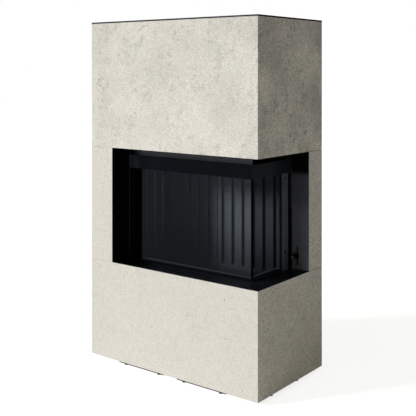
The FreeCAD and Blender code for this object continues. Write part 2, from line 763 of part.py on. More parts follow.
def arc_points(x, y, radius, angles):
    turn = [FreeCAD.Rotation(Vector(1, 0, 0), angle).multVec(Vector(0, radius, 0)) for angle in angles]
    return [Vector(x, y, pulley_z) + way for way in turn]


def counterbalance():
    front_y = left_cable_y + left_pulley_r
    back_y = weight_cable_y - left_pulley_r
    right_y = right_cable_y + right_pulley_r
    wheels = {"left_front_pulley": (left_cable_x, front_y, left_pulley_r),
              "left_rear_pulley": (left_cable_x, back_y, left_pulley_r),
              "right_pulley": (right_cable_x, right_y, right_pulley_r)}
    axles = []
    for name, (x, y, radius) in wheels.items():
        save(name, pulley(x, y, radius))
        reach = pulley_w / 2 + cheek_gap + carrier_cheek_t
        axles.append(rod(axle_r, Vector(x - reach, y, pulley_z), Vector(x + reach, y, pulley_z)))
    save("pulley_axles", *axles)
    beams = []
    beam_z1 = z_clad_top - angle_t
    for x, places in ((left_cable_x, (front_y, back_y)), (right_cable_x, (right_y,))):
        beam = block(x - beam_w / 2, x + beam_w / 2, frame_y0 + angle_t, frame_y1 - angle_t, beam_z1 - beam_h, beam_z1)
        plates = [plate for y in places for plate in carrier_cheeks(x, y)]
        beams.append(fused([beam] + plates))
    save("pulley_carriers", *beams)
    first = arc_points(left_cable_x, front_y, left_pulley_r, (180, 135, 90))
    second = arc_points(left_cable_x, back_y, left_pulley_r, (90, 45, 0))
    left_run = cable_top([(first[2], second[0])], [first, second])
    right_first = arc_points(right_cable_x, right_y, right_pulley_r, (180, 135, 90))
    right_second = arc_points(right_cable_x, right_y, right_pulley_r, (90, 45, 0))
    save("top_cables", left_run, cable_top([], [right_first, right_second]))
    door_runs = []
    weight_runs = []
    for x, y in ((left_cable_x, left_cable_y), (right_cable_x, right_cable_y)):
        door_runs.append(rod(cable_r, Vector(x, y, lug_door_z + cable_gap), Vector(x, y, pulley_z)))
        weight_runs.append(rod(cable_r, Vector(x, weight_cable_y, lug_weight_z + cable_gap),
                               Vector(x, weight_cable_y, pulley_z)))
    save("door_cables", *door_runs)
    save("weight_cables", *weight_runs)
    for name, x in (("left_counterweight", left_cable_x), ("right_counterweight", right_cable_x)):
        body = block(x - weight_w / 2, x + weight_w / 2, weight_y0, weight_y0 + weight_d,
                     weight_z1 - weight_h, weight_z1)
        save(name, body.fuse(cable_lug(x, weight_cable_y, weight_z1)))


os.makedirs("parts", exist_ok=True)
cladding()
covers()
casing_frame()
feet()
recess()
header()
firebox()
linings()
flue()
stand()
air_supply()
air_control()
door_glass()
door_rails()
door_stiles()
guides()
counterbalance()
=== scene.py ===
import bpy
import math
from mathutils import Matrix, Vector


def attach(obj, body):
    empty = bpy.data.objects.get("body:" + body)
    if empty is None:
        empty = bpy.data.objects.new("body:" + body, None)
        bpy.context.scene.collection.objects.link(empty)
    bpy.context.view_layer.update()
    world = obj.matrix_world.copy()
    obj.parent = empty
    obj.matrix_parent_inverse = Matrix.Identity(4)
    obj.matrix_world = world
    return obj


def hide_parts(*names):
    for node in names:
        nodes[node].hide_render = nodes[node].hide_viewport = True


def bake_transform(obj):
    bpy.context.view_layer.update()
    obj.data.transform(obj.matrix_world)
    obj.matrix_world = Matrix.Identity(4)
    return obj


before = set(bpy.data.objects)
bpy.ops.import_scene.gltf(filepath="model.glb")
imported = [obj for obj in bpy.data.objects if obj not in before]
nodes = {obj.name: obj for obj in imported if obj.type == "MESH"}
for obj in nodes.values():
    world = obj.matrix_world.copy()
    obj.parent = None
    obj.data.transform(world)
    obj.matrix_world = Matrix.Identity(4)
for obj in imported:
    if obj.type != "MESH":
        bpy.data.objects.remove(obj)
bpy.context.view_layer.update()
scene = bpy.context.scene
print("frame loaded:", len(nodes), "nodes")


# Shader maths
class Wire:
    def __init__(self, tree, socket=None):
        self.tree = tree
        self.socket = socket

    def feed(self, target, value):
        if isinstance(value, Wire):
            self.tree.links.new(value.socket, target)
        else:
            target.default_value = value

    def node(self, kind, settings=None, sockets=None, out=0):
        made = self.tree.nodes.new(kind)
        for name, value in (settings or {}).items():
            if name == "stops":
                self.setStops(made.color_ramp, value)
            else:
                setattr(made, name, value)
        for name, value in (sockets or {}).items():
            self.feed(made.inputs[name], value)
        return Wire(self.tree, made.outputs[out])

    def setStops(self, ramp, stops):
        for number, (place, tone) in enumerate(stops):
            stop = ramp.elements[number] if number < 2 else ramp.elements.new(place)
            stop.position = place
            stop.color = (tone, tone, tone, 1) if isinstance(tone, (int, float)) else (*tone, 1)

    def other(self, name):
        return Wire(self.tree, self.socket.node.outputs[name])

    def maths(self, operation, first, second):
        return self.node("ShaderNodeMath", {"operation": operation}, {0: first, 1: second})

    def __add__(self, value):
        return self.maths("ADD", self, value)

    def __sub__(self, value):
        return self.maths("SUBTRACT", self, value)

    def __rsub__(self, value):
        return self.maths("SUBTRACT", value, self)

    def __mul__(self, value):
        return self.maths("MULTIPLY", self, value)

    def __gt__(self, value):
        return self.maths("GREATER_THAN", self, value)

    def __lt__(self, value):
        return self.maths("LESS_THAN", self, value)

    __radd__ = __add__

    # patterns that most finishes share
    def place(self, scale=(1, 1, 1)):
        coords = self.node("ShaderNodeTexCoord", out="Object")
        return self.node("ShaderNodeMapping", sockets={"Vector": coords, "Scale": scale})

    def along(self, where, axis):
        return self.node("ShaderNodeSeparateXYZ", sockets={"Vector": where}, out=axis)

    def noise(self, where, size, detail, rough=0.5, twist=0.0):
        sockets = {"Vector": where, "Scale": 1 / size, "Detail": detail, "Roughness": rough, "Distortion": twist}
        return self.node("ShaderNodeTexNoise", sockets=sockets)

    def cells(self, where, size, out="Distance"):
        return self.node("ShaderNodeTexVoronoi", sockets={"Vector": where, "Scale": 1 / size}, out=out)

    def parts(self, colour):
        return self.node("ShaderNodeSeparateColor", sockets={"Color": colour})

    def ramp(self, value, *stops):
        return self.node("ShaderNodeValToRGB", {"stops": stops}, {"Fac": value})

    def mix(self, share, first, second, how="MIX"):
        settings = {"data_type": "RGBA", "blend_type": how}
        return self.node("ShaderNodeMix", settings, {0: share, 6: first, 7: second}, out=2)

    def bump(self, height, depth, strength):
        return self.node("ShaderNodeBump", sockets={"Height": height, "Distance": depth, "Strength": strength})


def newFinish(name):
    finish = bpy.data.materials.new(name)
    finish.use_nodes = True
    wire = Wire(finish.node_tree)
    shader = finish.node_tree.nodes["Principled BSDF"]
    return finish, wire, shader


def setShader(wire, shader, sockets):
    for name, value in sockets.items():
        wire.feed(shader.inputs[name], value)


def grey(tone, tint=(1, 1, 1)):
    return (tone * tint[0], tone * tint[1], tone * tint[2], 1)


def around(tone, spread, tint):
    # a darker and a lighter shade of one tone
    return grey(tone * (1 - spread), tint), grey(tone * (1 + spread), tint)


# Camera: level, with the lens shifted down so that the uprights stay upright
cameraSet = {
    "place": (2.760, -3.560, 1.6435),
    "turn": 37.52,
    "lens": 69.24,
    "sensor": 36.0,
    "shift": -0.3300,
}


def addCamera():
    lens = bpy.data.cameras.new("camera")
    lens.lens = cameraSet["lens"]
    lens.sensor_width = cameraSet["sensor"]
    lens.shift_y = cameraSet["shift"]
    holder = bpy.data.objects.new("camera", lens)
    holder.location = cameraSet["place"]
    holder.rotation_euler = (math.radians(90), 0, math.radians(cameraSet["turn"]))
    scene.collection.objects.link(holder)
    scene.camera = holder


# Studio: white floor and surroundings, one soft key lamp from the front left
studioSet = {
    "ambient": 0.172,
    "ambientTint": (1.0, 0.965, 0.82, 1),
    "keyTurn": 38.4,
    "keyRise": 19.0,
    "keyDistance": 60.0,
    "keySize": (15.9, 13.5),
    "keyPower": 31600.0,
    "keyAim": (0, 0, 0.95),
    "floorSize": 60.0,
    "floorTone": 0.86,
    "floorGlow": 0.80,
}


def seenRays(wire):
    # 1 for rays that show the surroundings, 0 for rays that carry light from a matt surface
    path = wire.node("ShaderNodeLightPath", out="Is Camera Ray")
    shown = path + path.other("Is Glossy Ray") + path.other("Is Transmission Ray")
    return wire.maths("MINIMUM", shown, 1.0) * (path.other("Diffuse Depth") < 0.5)


def addStudio():
    scene.view_settings.view_transform = "Standard"
    world = bpy.data.worlds.new("studio")
    world.use_nodes = True
    scene.world = world
    wire = Wire(world.node_tree)
    dim = studioSet["ambient"]
    backdrop = world.node_tree.nodes["Background"]
    seen = seenRays(wire)
    setShader(wire, backdrop, {
        "Color": wire.mix(seen, studioSet["ambientTint"], grey(1.0)),
        "Strength": dim + seen * (1 - dim),
    })

    bpy.ops.object.select_all(action="DESELECT")
    bpy.ops.mesh.primitive_plane_add(size=studioSet["floorSize"])
    floor = bpy.context.active_object
    floor.name = "floor"
    finish = bpy.data.materials.new("floorPaper")
    finish.use_nodes = True
    wire = Wire(finish.node_tree)
    paper = wire.node("ShaderNodeBsdfDiffuse", sockets={"Color": grey(studioSet["floorTone"])})
    glow = wire.node("ShaderNodeEmission", sockets={"Strength": seenRays(wire) * studioSet["floorGlow"]})
    both = wire.node("ShaderNodeAddShader", sockets={0: paper, 1: glow})
    wire.feed(finish.node_tree.nodes["Material Output"].inputs["Surface"], both)
    floor.data.materials.append(finish)

    turn, rise = math.radians(studioSet["keyTurn"]), math.radians(studioSet["keyRise"])
    way = Vector((-math.sin(turn) * math.cos(rise), -math.cos(turn) * math.cos(rise), math.sin(rise)))
    lamp = bpy.data.lights.new("key", "AREA")
    lamp.shape = "RECTANGLE"
    lamp.size, lamp.size_y = studioSet["keySize"]
    lamp.energy = studioSet["keyPower"]
    holder = bpy.data.objects.new("key", lamp)
    holder.location = Vector(studioSet["keyAim"]) + way * studioSet["keyDistance"]
    holder.rotation_euler = way.to_track_quat("Z", "Y").to_euler()
    scene.collection.objects.link(holder)


addCamera()
addStudio()
print("camera and studio set")


# Finishes; sizes of patterns are in metres
stoneSet = {
    # size, detail, roughness and distortion of each noise
    "noises": {"cloud": (0.20, 4.0, 0.55), "smudge": (0.034, 5.0, 0.62, 0.4), "patch": (0.14, 3.0, 0.6),
               "dots": (0.013, 2.0, 0.6), "mottle": (0.026, 3.0, 0.6), "grain": (0.0062, 2.0, 0.6),
               "sand": (0.0030, 2.0, 0.6)},
    "warmth": (0.11, 6.0, 0.72),
    "warmthScale": (1.3, 1.3, 0.8),
    "fleckSize": 0.055,
    "fleckReach": 0.070,
    "chipReach": 0.085,
    "stainSize": 0.19,
    "stainScale": (1, 1, 0.7),
    # cells of a pattern have a mark where their random value is higher than this
    "fleckCells": 0.72,
    "stainCells": 0.35,
    "shares": {"cluster": 0.22, "grains": 0.62, "fleck": 0.75, "stain": 0.42, "chip": 0.75},
    "pale": (0.734, 0.708, 0.648),
    "warm": (0.764, 0.698, 0.628, 1),
    "cool": (0.700, 0.712, 0.676, 1),
    "cluster": (0.430, 0.425, 0.390, 1),
    "grains": (0.350, 0.345, 0.315, 1),
    "fleck": (0.270, 0.225, 0.165, 1),
    "stain": (0.400, 0.330, 0.245, 1),
    "chip": (0.880, 0.868, 0.820, 1),
    "cloudDepth": 0.12,
    # heights in metres over which the painted top shade sets in
    "topShadeFrom": 1.24,
    "topShadeTo": 1.84,
    "relief": 0.00030,
}


def stoneFinish(name, grit, clouds, lift, topShade=0.0):
    # pale cast stone: soft clouds, clusters of grey grains, faint speckle, brown stains, brown and white flecks;
    # topShade is painted shade that darkens it a little towards the top, where less light falls
    finish, wire, shader = newFinish(name)
    shares = stoneSet["shares"]
    where = wire.place()
    noises = [wire.noise(where, *values) for values in stoneSet["noises"].values()]
    cloud, smudge, patch, dots, mottle, grain, sand = noises
    warmth = wire.noise(wire.place(stoneSet["warmthScale"]), *stoneSet["warmth"])

    # clouds, and a drift between warm and cool
    pale = stoneSet["pale"]
    dim = grey(1 - clouds * stoneSet["cloudDepth"], pale)
    tone = wire.mix(wire.ramp(cloud, (0.34, 0.0), (0.66, 1.0)), dim, grey(1.0, pale))
    tone = wire.mix(wire.ramp(warmth, (0.50, 0.0), (0.68, 0.34)), tone, stoneSet["warm"])
    tone = wire.mix(wire.ramp(warmth, (0.32, 0.30), (0.50, 0.0)), tone, stoneSet["cool"])

    # grey clusters with darker grains in them
    cluster = wire.ramp(patch, (0.44, 0.0), (0.62, 1.0)) * wire.ramp(smudge, (0.46, 0.0), (0.64, 1.0))
    grains = cluster * wire.ramp(dots, (0.48, 0.0), (0.62, 1.0))
    tone = wire.mix(cluster * (shares["cluster"] * clouds), tone, stoneSet["cluster"])
    tone = wire.mix(grains * (shares["grains"] * clouds), tone, stoneSet["grains"])

    # single flecks, stains and chips, in some cells of a pattern
    cell = wire.cells(where, stoneSet["fleckSize"])
    lucky = wire.parts(cell.other("Color"))
    ragged = cell + (sand - 0.5) * 0.20
    fleck = (ragged < stoneSet["fleckReach"]) * (lucky > stoneSet["fleckCells"])
    chip = (ragged < stoneSet["chipReach"]) * (lucky.other("Green") > stoneSet["fleckCells"])
    tone = wire.mix(fleck * shares["fleck"], tone, stoneSet["fleck"])
    spot = wire.cells(wire.place(stoneSet["stainScale"]), stoneSet["stainSize"])
    rare = wire.parts(spot.other("Color"))
    blurred = spot + (smudge - 0.5) * 0.10 + (grain - 0.5) * 0.06
    stain = wire.ramp(blurred, (0.025, 1.0), (0.062, 0.0)) * (rare > stoneSet["stainCells"])
    tone = wire.mix(stain * shares["stain"], tone, stoneSet["stain"])
    tone = wire.mix(chip * shares["chip"], tone, stoneSet["chip"])

    # fine speckle over everything
    speckle = lift + ((grain - 0.5) * 0.85 + (mottle - 0.5) * 0.22 + (sand - 0.5) * 1.60) * grit
    # painted shade: the speckle is lowered towards the top
    if topShade:
        # a ramp runs from 0 to 1, so heights are halved
        stops = (stoneSet["topShadeFrom"] / 2, 0.0), (stoneSet["topShadeTo"] / 2, topShade)
        speckle = speckle - wire.ramp(wire.along(where, "Z") * 0.5, *stops)
    shade = wire.node("ShaderNodeCombineColor", sockets={0: speckle, 1: speckle, 2: speckle})
    relief = grain * 0.5 + sand * 0.3 + smudge * 0.3 - grains * 0.3 - fleck * 0.6
    setShader(wire, shader, {
        "Base Color": wire.mix(1.0, tone, shade, "MULTIPLY"),
        "Roughness": 0.80 - (grain - 0.5) * 0.25 - cluster * 0.1,
        "Specular IOR Level": 0.25,
        "Normal": wire.bump(relief, stoneSet["relief"], 0.50),
    })
    return finish


paintSet = {"driftSize": 0.09, "spread": 0.12, "skinShare": 0.3, "skinDepth": 0.00006, "peel": 0.006}


def rampPlace(metres):
    # a ramp runs from 0 to 1, so places from -0.5 to 1.5 m are fitted into it
    return metres * 0.5 + 0.25


def paintFinish(name, tone, tint, rough, level, peel=paintSet["peel"], paintedShade=None, axis="Z"):
    # oven-baked paint on steel: even colour, a faint peel and a little dust-like change of sheen;
    # paintedShade gives (place, share) stops along an axis for painted shade: the tone is scaled by the share there
    finish, wire, shader = newFinish(name)
    where = wire.place()
    drift = wire.noise(where, paintSet["driftSize"], 4.0, 0.6)
    skin = wire.noise(where, peel * paintSet["skinShare"], 2.0)
    shade = wire.mix(wire.ramp(drift, (0.3, 0.0), (0.7, 1.0)), *around(tone, paintSet["spread"], tint))
    if paintedShade:
        stops = [(rampPlace(place), share) for place, share in paintedShade]
        unshadedShare = wire.ramp(rampPlace(wire.along(where, axis)), *stops)
        shade = wire.mix(unshadedShare, grey(0.0), shade)
        # painted shade on the reflection: where the share is low the paint turns metallic, and so its black base
        # loses its reflection
        setShader(wire, shader, {"Metallic": wire.ramp(unshadedShare, (0.03, 1.0), (0.3, 0.0))})
    setShader(wire, shader, {
        "Base Color": shade,
        "Roughness": rough + (drift - 0.5) * 0.16 + (skin - 0.5) * 0.06,
        "Specular IOR Level": level,
        "Specular Tint": grey(1 / max(tint), tint),
        "Normal": wire.bump(skin, paintSet["skinDepth"], 0.4),
    })
    return finish


castSet = {"cloudSize": 0.16, "cloudSpread": 0.14, "grainShare": 0.30, "grainSpread": 0.5}


def castFinish(name, tone, tint, rough, grainSize, depth, level=0.15):
    # rubber and rough castings: fine grain and faint clouds
    finish, wire, shader = newFinish(name)
    where = wire.place()
    cloud = wire.noise(where, castSet["cloudSize"], 5.0, 0.6)
    grain = wire.noise(where, grainSize, 3.0, 0.6)
    clouded = wire.mix(wire.ramp(cloud, (0.3, 0.0), (0.7, 1.0)), *around(tone, castSet["cloudSpread"], tint))
    grained = wire.mix(grain, *around(tone, castSet["grainSpread"], tint))
    setShader(wire, shader, {
        "Base Color": wire.mix(castSet["grainShare"], clouded, grained),
        "Roughness": rough + (grain - 0.5) * 0.2,
        "Specular IOR Level": level,
        "Normal": wire.bump(grain, depth, 0.35),
    })
    return finish


liningSet = {
    "tint": (0.90, 1.01, 1.14),
    "foot": 0.485,
    "head": 1.12,
    # painted shade: share of the tone kept from foot to head
    "lowShade": ((0.0, 0.01), (0.03, 0.06), (0.06, 0.21), (0.14, 0.31), (0.42, 0.88), (0.60, 1.0)),  # from foot to head
    "sootSize": 0.16,
    "sootScale": (1, 1, 0.35),
    "grainSize": 0.003,
    "grainDepth": 0.0003,
}


def liningFinish(name, shade):
    # fluted lining board: grained and clouded with soot; painted shade darkens it towards the hearth, down to a
    # painted contact shadow at the foot
    finish, wire, shader = newFinish(name)
    where = wire.place()
    soot = wire.noise(wire.place(liningSet["sootScale"]), liningSet["sootSize"], 5.0, 0.6)
    grain = wire.noise(where, liningSet["grainSize"], 3.0, 0.6)
    level = (wire.along(where, "Z") - liningSet["foot"]) * (1 / (liningSet["head"] - liningSet["foot"]))
    tone = wire.ramp(level, *liningSet["lowShade"]) * (0.86 + soot * 0.28) * (0.80 + grain * 0.40)
    setShader(wire, shader, {
        "Base Color": wire.mix(tone, grey(0.0), grey(shade, liningSet["tint"])),
        "Roughness": 0.55 + (grain - 0.5) * 0.2,
        "Specular IOR Level": 0.08,
        "Normal": wire.bump(grain, liningSet["grainDepth"], 0.35),
    })
    return finish


metalSet = {"cloudSize": 0.05, "grainDepth": 0.00005}


def metalFinish(name, tone, tint, rough, brush, grainSize, stain, metallic=0.9):
    # bare or plated metal: brushed or rolled grain along one axis, faint stains
    finish, wire, shader = newFinish(name)
    grain = wire.noise(wire.place(brush), grainSize, 3.0, 0.6)
    cloud = wire.noise(wire.place(), metalSet["cloudSize"], 4.0, 0.6)
    setShader(wire, shader, {
        "Base Color": wire.mix(cloud, *around(tone, stain, tint)),
        "Metallic": metallic,
        "Roughness": rough + (grain - 0.5) * 0.18 + (cloud - 0.5) * 0.1,
        "Normal": wire.bump(grain, metalSet["grainDepth"], 0.35),
    })
    return finish


zincSet = {
    "bendSize": 0.03,
    "facetSize": 0.016,
    "bloomSize": 0.3,
    "facetShare": 0.75,
    "dull": (0.43, 0.44, 0.45, 1),
    "bright": (0.55, 0.56, 0.57, 1),
    "relief": 0.00004,
}


def galvanisedFinish():
    # hot-dip zinc: flat crystals of different sheen
    finish, wire, shader = newFinish("zincSheet")
    where = wire.place()
    bend = wire.noise(where, zincSet["bendSize"], 2.0)
    facet = wire.parts(wire.cells(where, zincSet["facetSize"], "Color"))
    bloom = wire.noise(where, zincSet["bloomSize"], 4.0, 0.6)
    share = facet * zincSet["facetShare"] + bloom * (1 - zincSet["facetShare"])
    setShader(wire, shader, {
        "Base Color": wire.mix(share, zincSet["dull"], zincSet["bright"]),
        "Metallic": 0.85,
        "Roughness": 0.40 + facet.other("Green") * 0.08 + (bend - 0.5) * 0.1,
        "Normal": wire.bump(facet * 0.6 + bend * 0.4, zincSet["relief"], 0.3),
    })
    return finish


glassSet = {"hazeSize": 0.12, "hazeScale": (1, 1, 0.4), "hazeTone": 0.97, "glow": (0.70, 0.80, 1.0, 1)}


def glassFinish(name, glint, tint, through):
    # clear ceramic pane: a faint even glow stands for the reflection of the white surroundings, because the few
    # mirrored rays of so weak a reflection come out as grain; glossy, diffuse and shadow rays go straight through
    finish, wire, shader = newFinish(name)
    haze = wire.noise(wire.place(glassSet["hazeScale"]), glassSet["hazeSize"], 4.0, 0.6)
    hazy, clean = grey(glassSet["hazeTone"], tint), grey(1.0, tint)
    setShader(wire, shader, {
        "Base Color": wire.mix(wire.ramp(haze, (0.4, 0.0), (0.7, 1.0)), hazy, clean),
        "Roughness": 0.0,
        "IOR": 1.0,
        "Transmission Weight": 1.0,
        "Emission Color": glassSet["glow"],
        "Emission Strength": glint,
    })
    clear = wire.node("ShaderNodeBsdfTransparent", sockets={"Color": grey(through)})
    path = wire.node("ShaderNodeLightPath", out="Is Shadow Ray")
    pane = Wire(wire.tree, shader.outputs[0])
    mixed = pane
    for ray, instead in (("Is Glossy Ray", clear), ("Is Transmission Ray", pane), ("Is Diffuse Ray", clear),
                         ("Is Shadow Ray", clear)):
        mixed = wire.node("ShaderNodeMixShader", sockets={0: path.other(ray), 1: mixed, 2: instead})
    wire.feed(finish.node_tree.nodes["Material Output"].inputs["Surface"], mixed)
    return finish


ropeSet = {
    "stripes": 260.0,
    "waver": 0.4,
    "groove": (0.020, 0.020, 0.022, 1),
    "crown": (0.110, 0.112, 0.118, 1),
    "relief": 0.0004,
}


def cableFinish():
    # steel wire rope: strands as slanting stripes
    finish, wire, shader = newFinish("wireRope")
    settings = {"wave_type": "BANDS", "bands_direction": "DIAGONAL"}
    sockets = {"Vector": wire.place(), "Scale": ropeSet["stripes"], "Distortion": ropeSet["waver"]}
    strand = wire.node("ShaderNodeTexWave", settings, sockets, out="Fac")
    setShader(wire, shader, {
        "Base Color": wire.mix(strand, ropeSet["groove"], ropeSet["crown"]),
        "Metallic": 0.9,
        "Roughness": 0.30 + strand * 0.15,
        "Normal": wire.bump(strand, ropeSet["relief"], 0.6),
    })
    return finish


coolBlack, deepBlue = (0.90, 0.96, 1.12), (0.84, 0.96, 1.26)
# Values come in the order of each function: those of a stone are grit, clouds, lift and painted top shade, and those
# of a paint are tone, tint, roughness, specular level and size of the peel
finishes = {
    "stone": stoneFinish("paleStone", 1.25, 1.25, 1.085, 0.075),
    "calmStone": stoneFinish("calmStone", 0.82, 0.28, 1.01),
    # painted light: the right-side copies of the stone have stronger speckle and clouds and a lighter tone, for the
    # shade that side lies in
    "shadedSideStone": stoneFinish("shadedSideStone", 1.8, 2.9, 1.135, 0.090),
    "calmShadedSideStone": stoneFinish("calmShadedSideStone", 1.7, 0.9, 1.080),
    "coverBlack": paintFinish("coverBlack", 0.040, (0.97, 1.0, 1.03), 0.45, 0.01),
    "recessBlack": paintFinish("recessBlack", 0.0030, coolBlack, 0.26, 0.03),
    # painted light: the header is darkened along X except at its left end, which keeps the full tone where the left
    # jamb's shadow falls on it
    "headerBlack": paintFinish("headerBlack", 0.050, deepBlue, 0.30, 0.012, axis="X", paintedShade=(
        (-0.375, 1.0), (-0.335, 0.45), (-0.300, 0.082))),
    # painted light: the header's right side is painted lighter than its front, for the little light that falls on it
    "litHeaderSide": paintFinish("litHeaderSide", 0.019, deepBlue, 0.30, 0.012),
    # painted highlight: a lighter finish for the cheek's front face, standing for the light on its edge
    "cheekHighlight": paintFinish("cheekHighlight", 0.050, coolBlack, 0.40, 0.05),
    # painted shade: the rear panel darkens upwards and turns near black under the soffit, where the soffit's shadow
    # falls
    "panelBlack": paintFinish("panelBlack", 0.160, coolBlack, 0.60, 0.30, paintedShade=(
        (0.59, 1.0), (0.70, 0.76), (0.85, 0.74), (0.95, 0.46), (1.065, 0.40), (1.100, 0.02))),
    "stripGrey": paintFinish("stripGrey", 0.105, coolBlack, 0.40, 0.10),
    # painted shade: the door's top rail is darkened at its left end, where the left jamb shades it
    "doorGrey": paintFinish("doorGrey", 0.150, coolBlack, 0.40, 0.08, axis="X", paintedShade=(
        (-0.355, 0.12), (-0.29, 1.0))),
    "stileGrey": paintFinish("stileGrey", 0.060, coolBlack, 0.40, 0.06),
    "doorBlack": paintFinish("doorBlack", 0.0025, coolBlack, 0.40, 0.005),
    "channelFront": paintFinish("channelFront", 0.005, coolBlack, 0.40, 0.01),
    "channelSide": paintFinish("channelSide", 0.026, coolBlack, 0.40, 0.02),
    # painted shade: a black print on the left end of the front pane, standing for the shade and dark reflection there
    "paneShadePrint": paintFinish("paneShadePrint", 0.0010, coolBlack, 0.40, 0.0),
    # painted shade and reflection: the sill is near black at its left end in the jamb's shadow, lightens towards the
    # right where more light falls, and darkens at the corner where the side pane mirrors darker
    "sillGloss": paintFinish("sillGloss", 0.0195, deepBlue, 0.24, 0.03, axis="X", paintedShade=(
        (-0.27, 0.02), (-0.20, 0.40), (-0.10, 0.76), (0.20, 0.80), (0.42, 1.0), (0.50, 0.55))),
    "primer": paintFinish("primer", 0.035, (1.0, 0.98, 0.95), 0.55, 0.15),
    "zinc": galvanisedFinish(),
    "heatSteel": metalFinish("heatSteel", 0.075, (0.93, 0.97, 1.08), 0.46, (1, 1, 0.25), 0.006, 0.25, 0.6),
    "lining": liningFinish("liningBoard", 0.064),
    # painted light: a lighter copy of the lining for the right back board, where the key light falls
    "litLiningRight": liningFinish("litLiningBoardRight", 0.094),
    # painted highlight: a lighter copy of the lining for the flute faces turned to the front, which catch the light
    "litFluteFaces": liningFinish("litFluteFaces", 0.180),
    "hearthRim": paintFinish("hearthRim", 0.005, coolBlack, 0.45, 0.01),
    # painted highlight: the rim's upward faces are painted far lighter than its front, where they catch the light
    "rimTopHighlight": paintFinish("rimTopHighlight", 0.105, coolBlack, 0.45, 0.02),
    "frontPane": glassFinish("frontPane", 0.0060, (0.96, 0.98, 1.0), 0.95),
    "sidePane": glassFinish("sidePane", 0.0014, (0.46, 0.485, 0.515), 0.28),
    "seal": castFinish("cornerSeal", 0.0012, (1, 1, 1), 0.6, 0.002, 0.0001, 0.0),
    "brass": metalFinish("shoeBronze", 0.010, (1.20, 0.95, 0.70), 0.40, (1, 1, 6), 0.004, 0.15, 0.5),
    "ballast": castFinish("ballastIron", 0.055, (1.0, 0.96, 0.92), 0.6, 0.004, 0.0004),
    "pulley": metalFinish("turnedSteel", 0.42, (1.0, 1.0, 1.02), 0.32, (8, 1, 1), 0.006, 0.12),
    "bright": metalFinish("brightSteel", 0.50, (1.0, 1.0, 1.03), 0.28, (1, 1, 1), 0.002, 0.1),
    "rope": cableFinish(),
    # painted shade: near black for faces turned away from the light, on the top cover, the guide cover and the door's
    # top rail
    "shadeBlack": paintFinish("shadeBlack", 0.0015, coolBlack, 0.45, 0.0),
    "screwBlack": paintFinish("screwBlack", 0.0012, (1, 1, 1.05), 0.50, 0.0, 0.002),
    "knobBlack": paintFinish("knobBlack", 0.002, (1, 1, 1.05), 0.45, 0.03, 0.002),
    "knobEnd": metalFinish("knobEnd", 0.150, (0.95, 1.0, 1.05), 0.30, (1, 1, 1), 0.0015, 0.08, 0.8),
    "footBlack": castFinish("footRubber", 0.012, (1, 1, 1), 0.6, 0.002, 0.0002),
}
print("finishes made:", len(finishes))


# Modelling helpers; angles in degrees
meshSet = {
    "merge": 0.00002,
    "flat": 0.4,
    "bevelSteps": 2,
    "bevelFrom": 30,
    "smoothTo": 20,
    "normalWeight": 100,
    "endReach": 0.0002,
    "weld": 0.000002,
    "latheCrease": 25,
}


def only(piece):
    bpy.ops.object.select_all(action="DESELECT")
    piece.select_set(True)
    bpy.context.view_layer.objects.active = piece


def mergedCopy(nodeName, pieceName):
    piece = bpy.data.objects.new(pieceName, nodes[nodeName].data.copy())
    scene.collection.objects.link(piece)
    only(piece)
    piece.data.materials.clear()
    bpy.ops.mesh.customdata_custom_splitnormals_clear()
    bpy.ops.object.mode_set(mode="EDIT")
    bpy.ops.mesh.select_all(action="SELECT")
    bpy.ops.mesh.remove_doubles(threshold=meshSet["merge"])
    bpy.ops.mesh.dissolve_limited(angle_limit=math.radians(meshSet["flat"]))
    bpy.ops.object.mode_set(mode="OBJECT")
    return piece


def easeEdges(piece, width):
    only(piece)
    bevel = piece.modifiers.new("edges", "BEVEL")
    bevel.width = width
    bevel.segments = meshSet["bevelSteps"]
    bevel.limit_method = "ANGLE"
    bevel.angle_limit = math.radians(meshSet["bevelFrom"])
    bevel.use_clamp_overlap = True
    bpy.ops.object.modifier_apply(modifier=bevel.name)
    bpy.ops.object.shade_smooth_by_angle(angle=math.radians(meshSet["smoothTo"]))
    level = piece.modifiers.new("normals", "WEIGHTED_NORMAL")  # keeps the light even on flat faces
    level.weight = meshSet["normalWeight"]
    level.keep_sharp = True
    bpy.ops.object.modifier_apply(modifier=level.name)


def pick(piece, kind, test):
    # goes to edit mode with the faces or points that pass the test selected
    only(piece)
    bpy.ops.object.mode_set(mode="EDIT")
    bpy.ops.mesh.select_mode(type=kind)
    bpy.ops.mesh.select_all(action="DESELECT")
    bpy.ops.object.mode_set(mode="OBJECT")
    for part in piece.data.polygons if kind == "FACE" else piece.data.vertices:
        part.select = test(part)
    bpy.ops.object.mode_set(mode="EDIT")


def paintFaces(piece, finish, test):
    # a second finish on some faces
    piece.data.materials.append(finishes[finish])
    pick(piece, "FACE", test)
    piece.active_material_index = len(piece.data.materials) - 1
    bpy.ops.object.material_slot_assign()
    bpy.ops.object.mode_set(mode="OBJECT")


def pullEnd(piece, axis, place, move):
    # moves the end of a panel that lies at one place along an axis
    pick(piece, "VERT", lambda point: abs(point.co[axis] - place) < meshSet["endReach"])
    bpy.ops.transform.translate(value=move)
    bpy.ops.object.mode_set(mode="OBJECT")


def splitAt(piece, axis, place):
    # a line of edges round the piece at one place along an axis
    way = [float(number == axis) for number in range(3)]
    pick(piece, "FACE", lambda face: True)
    bpy.ops.mesh.bisect(plane_co=[place * share for share in way], plane_no=way)
    bpy.ops.object.mode_set(mode="OBJECT")


def closeUp():
    # in edit mode: one closed skin whose faces look outwards
    bpy.ops.mesh.select_all(action="SELECT")
    bpy.ops.mesh.remove_doubles(threshold=meshSet["weld"])
    bpy.ops.mesh.normals_make_consistent(inside=False)
    bpy.ops.object.mode_set(mode="OBJECT")


